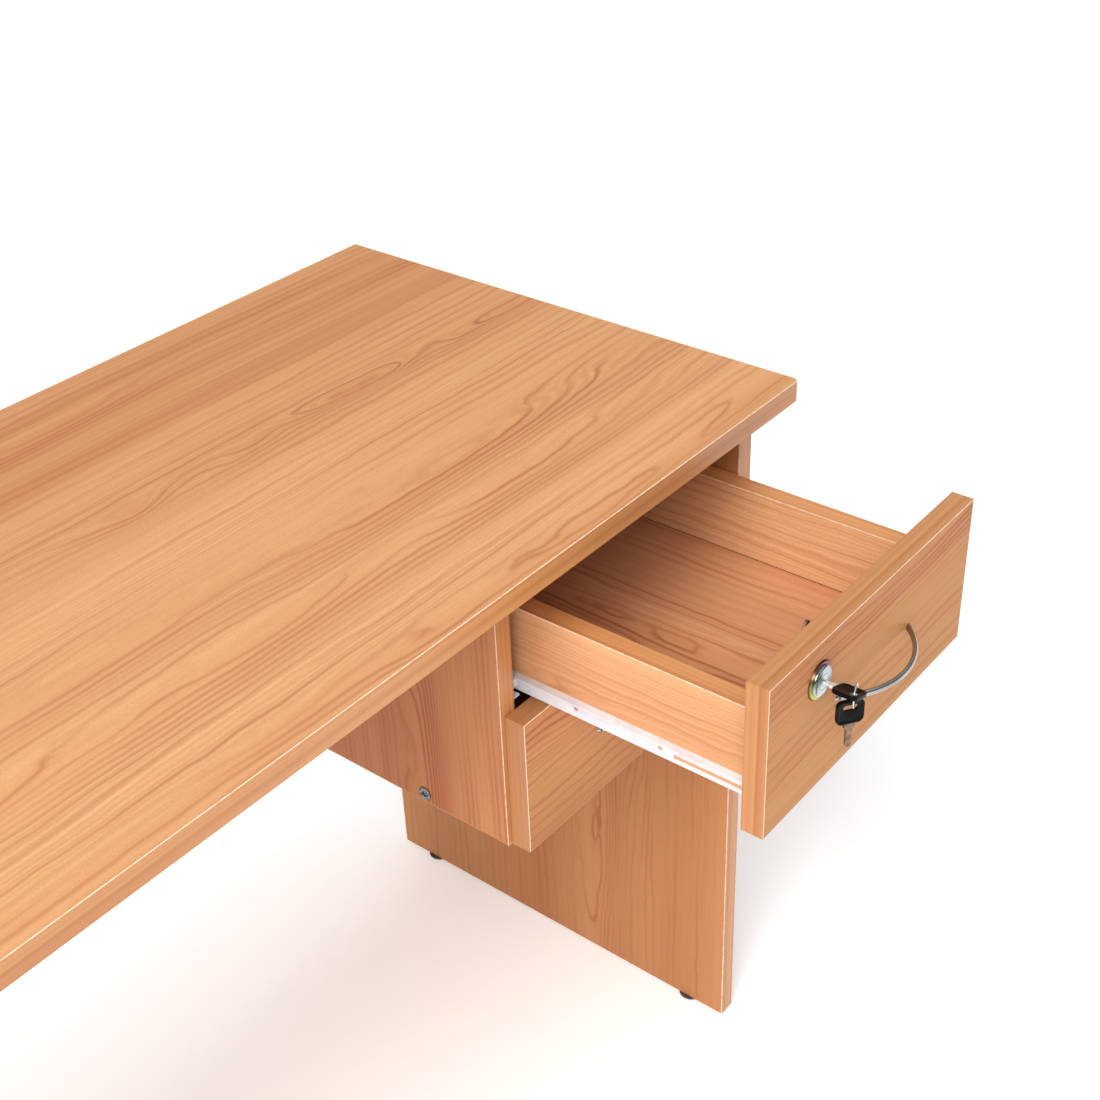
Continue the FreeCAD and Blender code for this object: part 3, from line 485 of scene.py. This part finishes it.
def bow_handle(drawer, material):
    (left, _, low), (right, face, high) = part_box(drawer + "_handle")
    half = (right - left) / 2 - handle_foot
    radius = (half ** 2 + handle_bow_depth ** 2) / (2 * handle_bow_depth)
    centre = Vector(((left + right) / 2, face - handle_bow_depth + radius, (low + high) / 2))
    past_face = math.asin(half / radius) + handle_run_on
    bpy.ops.mesh.primitive_circle_add(vertices=handle_bar_sides, radius=handle_half_height,
                                      fill_type="NOTHING", location=centre - Vector((0, radius, 0)),
                                      rotation=(0, math.pi / 2, 0))
    piece = bpy.context.object
    bpy.ops.object.transform_apply(location=False, rotation=True, scale=False)
    begin_edit(piece)
    bpy.ops.mesh.select_all(action="SELECT")
    bpy.ops.transform.resize(value=(1, handle_half_depth / handle_half_height, 1),
                             center_override=piece.location)
    bpy.ops.mesh.spin(steps=handle_steps, angle=past_face, center=centre, axis=(0, 0, 1))
    for step in range(handle_flare_steps):
        swung = past_face * (1 - step / handle_steps)

        def on_ring(vertex):
            place = piece.location + vertex.co - centre
            return abs(abs(math.atan2(place.x, -place.y)) - swung) < handle_ring_reach

        pick(piece, "VERT", on_ring)
        side = math.copysign(1, sum(vertex.co.x for vertex in bmesh.from_edit_mesh(piece.data).verts))
        middle = centre + Vector((side * math.sin(swung), -math.cos(swung), 0)) * radius
        wider = 1 + (handle_flare - 1) * (1 - step / handle_flare_steps) ** 2
        bpy.ops.transform.resize(value=(wider, wider, 1), center_override=middle)
    bpy.ops.mesh.select_all(action="SELECT")
    bpy.ops.mesh.bisect(plane_co=(0, face, 0), plane_no=(0, 1, 0), use_fill=True, clear_outer=True)
    bpy.ops.object.mode_set(mode="OBJECT")
    mirror = piece.modifiers.new("other_half", "MIRROR")
    mirror.use_axis = (True, False, False)
    mirror.merge_threshold = 0.00002
    bpy.ops.object.modifier_apply(modifier=mirror.name)
    begin_edit(piece)
    bpy.ops.mesh.select_all(action="SELECT")
    bpy.ops.mesh.normals_make_consistent(inside=False)
    finish_piece(piece, drawer + "_bow_handle", material, drawer, drawer + "_handle")


chrome = metal("handle_chrome", (176, 173, 171), (150, 147, 145), 60, 0.2, 0.00003)
for drawer in drawers:
    dress(chrome, drawer + "_handle")
    bow_handle(drawer, chrome)


# The cam lock. Its washer is zinc plate with a yellow chromate bath, which shines from green gold to
# purple; the domed case and the plug are chromed, and the nut and the cam behind them zinc plated.
lock_low, lock_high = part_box("lock_case")
lock_middle = Vector(((lock_low[0] + lock_high[0]) / 2, 0, (lock_low[2] + lock_high[2]) / 2))
lock_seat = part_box("lock_rose")[0][1]


def chromated_washer(name):
    material, place, _ = new_finish(name)
    x, _, z = place.parts()
    aside = x - lock_middle.x
    upward = z - lock_middle.z
    squared = aside * aside + upward * upward
    radius = squared.maths("SQRT", squared)
    mist = place.grains(150, 2)
    hue = upward * 70 + aside * 20 + mist * 0.4 - 0.4
    gold = hue.rise(-0.15, 0.3).blend(seen(190, 182, 84), seen(182, 132, 96))
    colour = hue.rise(0.25, 0.7).blend(gold, seen(134, 76, 78))
    colour = radius.rise(0.0137, 0.0149).blend(colour, seen(80, 54, 38))
    fine = place.grains(900, 2)
    sheen = mist * 0.16 + fine * 0.06 + 0.2
    set_finish(material, {"Metallic": 1.0}, {"Base Color": colour, "Roughness": sheen}, fine, 0.00001)
    return material


def turned_chrome(name):
    """Chrome over faint lathe marks, with glints painted into its colour in bright and dark wedges that
    fan out from the lock's axis.
    """
    material, place, _ = new_finish(name)
    x, _, z = place.parts()
    aside = x - lock_middle.x
    upward = z - lock_middle.z
    turn = upward.maths("ARCTAN2", upward, aside)
    painted_glint_fan = abs(turn.maths("SINE", turn + 0.5))
    fine = place.grains(700, 2)
    # Painted glints: the colour turns dark and bright in wedges about the lock's axis.
    colour = (painted_glint_fan.rise(0.1, 0.9) * 0.8 + fine * 0.2).blend(seen(98, 108, 106), seen(184, 193, 192))
    set_finish(material, {"Metallic": 1.0}, {"Base Color": colour, "Roughness": fine * 0.08 + 0.16},
               fine, 0.000006)
    return material


def turned_piece(outline, steps):
    """Draws an outline of radius and depth behind the washer's face, turned about the lock's axis."""
    points = [lock_middle + Vector((radius, lock_seat + depth, 0)) for radius, depth in outline]
    start_size = 0.002
    bpy.ops.mesh.primitive_plane_add(size=start_size, location=points[0])
    piece = bpy.context.object
    bpy.ops.object.transform_apply(location=True, rotation=False, scale=False)
    begin_edit(piece)
    pick(piece, "VERT", lambda vertex: vertex.co.x > points[0].x or vertex.co.y > points[0].y)
    bpy.ops.mesh.delete(type="VERT")
    bpy.ops.mesh.select_all(action="SELECT")
    bpy.ops.transform.translate(value=(start_size / 2, start_size / 2, 0))
    for last, point in zip(points, points[1:]):
        bpy.ops.mesh.extrude_vertices_move(TRANSFORM_OT_translate={"value": point - last})
    pick(piece, "VERT", lambda vertex: len(vertex.link_edges) == 1)
    bpy.ops.mesh.edge_face_add()
    bpy.ops.mesh.select_all(action="SELECT")
    bpy.ops.mesh.spin(steps=steps, angle=2 * math.pi, center=lock_middle, axis=(0, 1, 0))
    bpy.ops.mesh.select_all(action="SELECT")
    bpy.ops.mesh.remove_doubles(threshold=0.000005)
    bpy.ops.mesh.normals_make_consistent(inside=False)
    return piece


lock_chrome = turned_chrome("lock_chrome")
case_back = lock_high[1] - lock_seat
plug_bore = 0.00607
case_barrel = 0.008
case_outline = ((plug_bore, -0.0022), (0.0064, -0.0025), (0.008, -0.00245), (0.0098, -0.0023),
                (0.0109, -0.00195), (0.0116, -0.0014), (0.0119, -0.0007), (0.0118, 0.0),
                (case_barrel, 0.0), (case_barrel, case_back), (plug_bore, case_back))
case_steps = 72
lock_face = turned_piece(case_outline, case_steps)
dress(lock_chrome, "lock_case", "lock_plug")
finish_piece(lock_face, "lock_domed_case", lock_chrome, "top_drawer", "lock_case")
dress(chromated_washer("lock_washer_chromate"), "lock_rose")
dark_zinc = metal("lock_cam_zinc", (170, 142, 116), (88, 66, 52), 260, 0.28, 0.00008)
dress(dark_zinc, "lock_cam", "lock_nut")
dress(dark_steel, "lock_cam_screw")


# The two keys: a flat nickel-silver blade with a groove and shallow cuts, and a black moulded head with
# a raised rim and a slot, in which a loop of bright steel wire holds the spare key.
head_width = 0.0205
head_length = 0.0195
head_thickness = 0.0032
head_corner = 0.0045
head_rim = 0.0017
head_recess = 0.0006
head_slot_width = 0.011
head_slot_height = 0.0045
head_slot_from_end = 0.006
blade_width = 0.005
blade_thickness = 0.002
blade_in_head = 0.0015
shoulder_width = 0.0082
shoulder_length = 0.0036
shoulder_slope = 0.0018
blade_cuts = (0.005, 0.0046, 0.0049, 0.0044, 0.0048, 0.0045, 0.0049, 0.0046, 0.0034)
blade_step = 0.00166
blade_groove_edge = 0.0011
blade_groove_depth = 0.0004


def key_head(material, placing, name, body, replaced):
    bpy.ops.mesh.primitive_cube_add(size=1, location=(0, -head_length / 2, 0),
                                    scale=(head_width, head_length, head_thickness))
    piece = bpy.context.object
    bpy.ops.object.transform_apply(location=True, rotation=False, scale=True)
    begin_edit(piece)
    pick(piece, "EDGE", lambda edge: abs(edge.verts[0].co.z - edge.verts[1].co.z) > head_thickness / 2)
    bpy.ops.mesh.bevel(offset=head_corner, segments=6, affect="EDGES")
    for up in (1, -1):
        pick(piece, "FACE", lambda face: face.normal.z * up > 0.9)
        bpy.ops.mesh.inset(thickness=head_rim, depth=0.0)
        bpy.ops.mesh.inset(thickness=head_rim / 4, depth=-head_recess)
    bpy.ops.object.mode_set(mode="OBJECT")

    slot_place = (0, head_slot_from_end - head_length, 0)
    bpy.ops.mesh.primitive_cylinder_add(vertices=32, radius=head_slot_height / 2,
                                        depth=head_thickness * 2, location=slot_place)
    cutter = bpy.context.object
    bpy.ops.object.transform_apply(location=True, rotation=False, scale=False)
    begin_edit(cutter)
    for side in (1, -1):
        pick(cutter, "VERT", lambda vertex: vertex.co.x * side > 0.000001)
        bpy.ops.transform.translate(value=(side * (head_slot_width - head_slot_height) / 2, 0, 0))
    bpy.ops.object.mode_set(mode="OBJECT")
    slot = piece.modifiers.new("slot", "BOOLEAN")
    slot.object = cutter
    slot.operation = "DIFFERENCE"
    slot.solver = "EXACT"
    softened = piece.modifiers.new("softened", "BEVEL")
    softened.width = 0.0003
    softened.segments = 2
    softened.angle_limit = math.radians(35)
    bpy.ops.object.select_all(action="DESELECT")
    bpy.context.view_layer.objects.active = piece
    for modifier in list(piece.modifiers):
        bpy.ops.object.modifier_apply(modifier=modifier.name)
    bpy.data.objects.remove(cutter)
    piece.matrix_world = placing
    finish_piece(piece, name, material, body, replaced)


def key_blade(material, placing, name, body, replaced):
    bpy.ops.mesh.primitive_cube_add(size=1, location=(0, -blade_in_head / 2, 0),
                                    scale=(blade_width, blade_in_head, blade_thickness))
    piece = bpy.context.object
    bpy.ops.object.transform_apply(location=True, rotation=False, scale=True)
    begin_edit(piece)
    pick(piece, "FACE", lambda face: face.normal.y > 0.9)
    width = blade_width
    lengths = [(shoulder_width, 0.0), (shoulder_width, shoulder_length), (blade_width, shoulder_slope)]
    lengths += [(cut, blade_step) for cut in blade_cuts]
    reached = 0.0
    for new_width, length in lengths:
        bpy.ops.mesh.extrude_region_move(TRANSFORM_OT_translate={"value": (0, length, 0)})
        reached += length
        bpy.ops.transform.resize(value=(new_width / width, 1, 1), center_override=(0, reached, 0))
        width = new_width
    past_shoulder = shoulder_length + shoulder_slope
    for up in (1, -1):
        pick(piece, "FACE", lambda face: face.normal.z * up > 0.9
             and face.calc_center_median().y > past_shoulder)
        bpy.ops.mesh.inset(thickness=blade_groove_edge, depth=-blade_groove_depth)
    bpy.ops.mesh.select_all(action="SELECT")
    bpy.ops.mesh.remove_doubles(threshold=0.000001)
    bpy.ops.mesh.normals_make_consistent(inside=False)
    bpy.ops.object.mode_set(mode="OBJECT")
    softened = piece.modifiers.new("softened", "BEVEL")
    softened.width = 0.00012
    softened.segments = 1
    softened.angle_limit = math.radians(35)
    piece.matrix_world = placing
    finish_piece(piece, name, material, body, replaced)


key_steel = metal("key_steel", (238, 234, 228), (218, 212, 206), 260, 0.42, 0.00004, 0.3)
# The spare key's blade is the same steel as the other, painted darker and brown: a painted reflection
# of the wood front.
spare_key_painted_reflection_steel = metal("spare_key_steel_painted_reflection", (150, 124, 104), (112, 88, 72), 260, 0.42, 0.00004)
key_black = moulded_plastic("key_black", (15, 14, 15), (8, 7, 8), 0.3, 240, 0.00003, 0.1)
key_tilt = math.radians(20.5)
spare_key_turn = math.radians(-35)
low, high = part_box("key_head")
in_lock = (Matrix.Translation(((low[0] + high[0]) / 2, high[1], (low[2] + high[2]) / 2))
           @ Matrix.Rotation(key_tilt, 4, "Y"))
low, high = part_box("spare_key_head")
hanging = (Matrix.Translation(((low[0] + high[0]) / 2, (low[1] + high[1]) / 2, low[2]))
           @ Matrix.Rotation(spare_key_turn, 4, "Z") @ Matrix.Rotation(math.radians(-90), 4, "X"))
for prefix, body, placing, steel in (("", "key", in_lock, key_steel),
                                     ("spare_", "spare_key", hanging, spare_key_painted_reflection_steel)):
    dress(steel, prefix + "key_blade")
    dress(key_black, prefix + "key_head")
    key_head(key_black, placing, prefix + "key_moulded_head", body, prefix + "key_head")
    key_blade(steel, placing, prefix + "key_cut_blade", body, prefix + "key_blade")
dress(metal("loop_wire", (238, 236, 230), (206, 200, 190), 400, 0.16, 0.00002), "key_loop")


# The studio: a plain pale sheet of paper for a floor, a pale room, a soft lamp at the front left and a
# broad window beyond it. The camera sees the room as white, as the photograph's background is.
bpy.ops.mesh.primitive_plane_add(size=40, location=(0, 0, 0))
floor = bpy.context.object
floor.name = "studio_floor"
floor_paper, place, _ = new_finish("studio_paper")
x, y = place.parts()[:2]
mottle = place.cloud(x * 3, y * 3, 0.0, 2)
set_finish(floor_paper, {"Specular IOR Level": 0.1, "Roughness": 0.9, "Emission Strength": 0.3},
           {"Base Color": mottle.blend(seen(250, 250, 250), seen(246, 246, 246)),
            "Emission Color": mottle.blend(seen(255, 255, 255), seen(250, 250, 250))})
floor.data.materials.append(floor_paper)

world = bpy.data.worlds.new("studio_room")
world.use_nodes = True
room = world.node_tree
way = Socket(room, room.nodes.new("ShaderNodeTexCoord").outputs["Generated"])
height = way.parts()[2]
shade = height.rise(0.02, 0.75).blend(seen(112, 112, 114), seen(250, 250, 250))
looked_at = way.node("ShaderNodeLightPath", {}, {}, "Is Camera Ray")
backdrop = looked_at.blend(shade, (1.5, 1.5, 1.5, 1.0))
room.links.new(backdrop.socket, room.nodes["Background"].inputs["Color"])
room.nodes["Background"].inputs["Strength"].default_value = 0.62
bpy.context.scene.world = world


def soft_lamp(name, place, aim, width, height, power):
    light = bpy.data.lights.new(name, "AREA")
    light.shape = "RECTANGLE"
    light.size = width
    light.size_y = height
    light.energy = power
    lamp = bpy.data.objects.new(name, light)
    bpy.context.scene.collection.objects.link(lamp)
    lamp.location = place
    lamp.rotation_euler = (Vector(aim) - Vector(place)).to_track_quat("-Z", "Y").to_euler()


soft_lamp("lamp_front_left", (-1.15, -0.97, 1.9), (0.3, -0.1, 0.7), 1.2, 1.0, 25)
window = bpy.data.lights.new("broad_window", "SUN")
window.angle = math.radians(32)
window.energy = 2.2
broad_window = bpy.data.objects.new("broad_window", window)
bpy.context.scene.collection.objects.link(broad_window)
broad_window.rotation_euler = Vector((1.0, 0.15, -1.1)).to_track_quat("-Z", "Y").to_euler()


# The camera, where the photograph was taken from: above the left half of the desk and turned to its
# right end. Its place is measured from the desktop's near right corner.
camera_from_corner = Vector((-1.05358, -0.60223, 0.62642))
camera_turns = (57.4825, 1.6113, -52.1509)
camera_data = bpy.data.cameras.new("photo_camera")
camera_data.sensor_width = 36.0
camera_data.lens = 54.378
camera_data.shift_x = -0.01618
camera_data.shift_y = -0.01845
camera_data.clip_start = 0.01
camera = bpy.data.objects.new("photo_camera", camera_data)
bpy.context.scene.collection.objects.link(camera)
desktop_low, desktop_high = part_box("desktop_edge_band")
near_corner = Vector((desktop_high[0], desktop_low[1], desktop_high[2]))
camera.location = near_corner + camera_from_corner
camera.rotation_euler = [math.radians(angle) for angle in camera_turns]
bpy.context.scene.camera = camera
bpy.context.scene.view_settings.view_transform = "Standard"
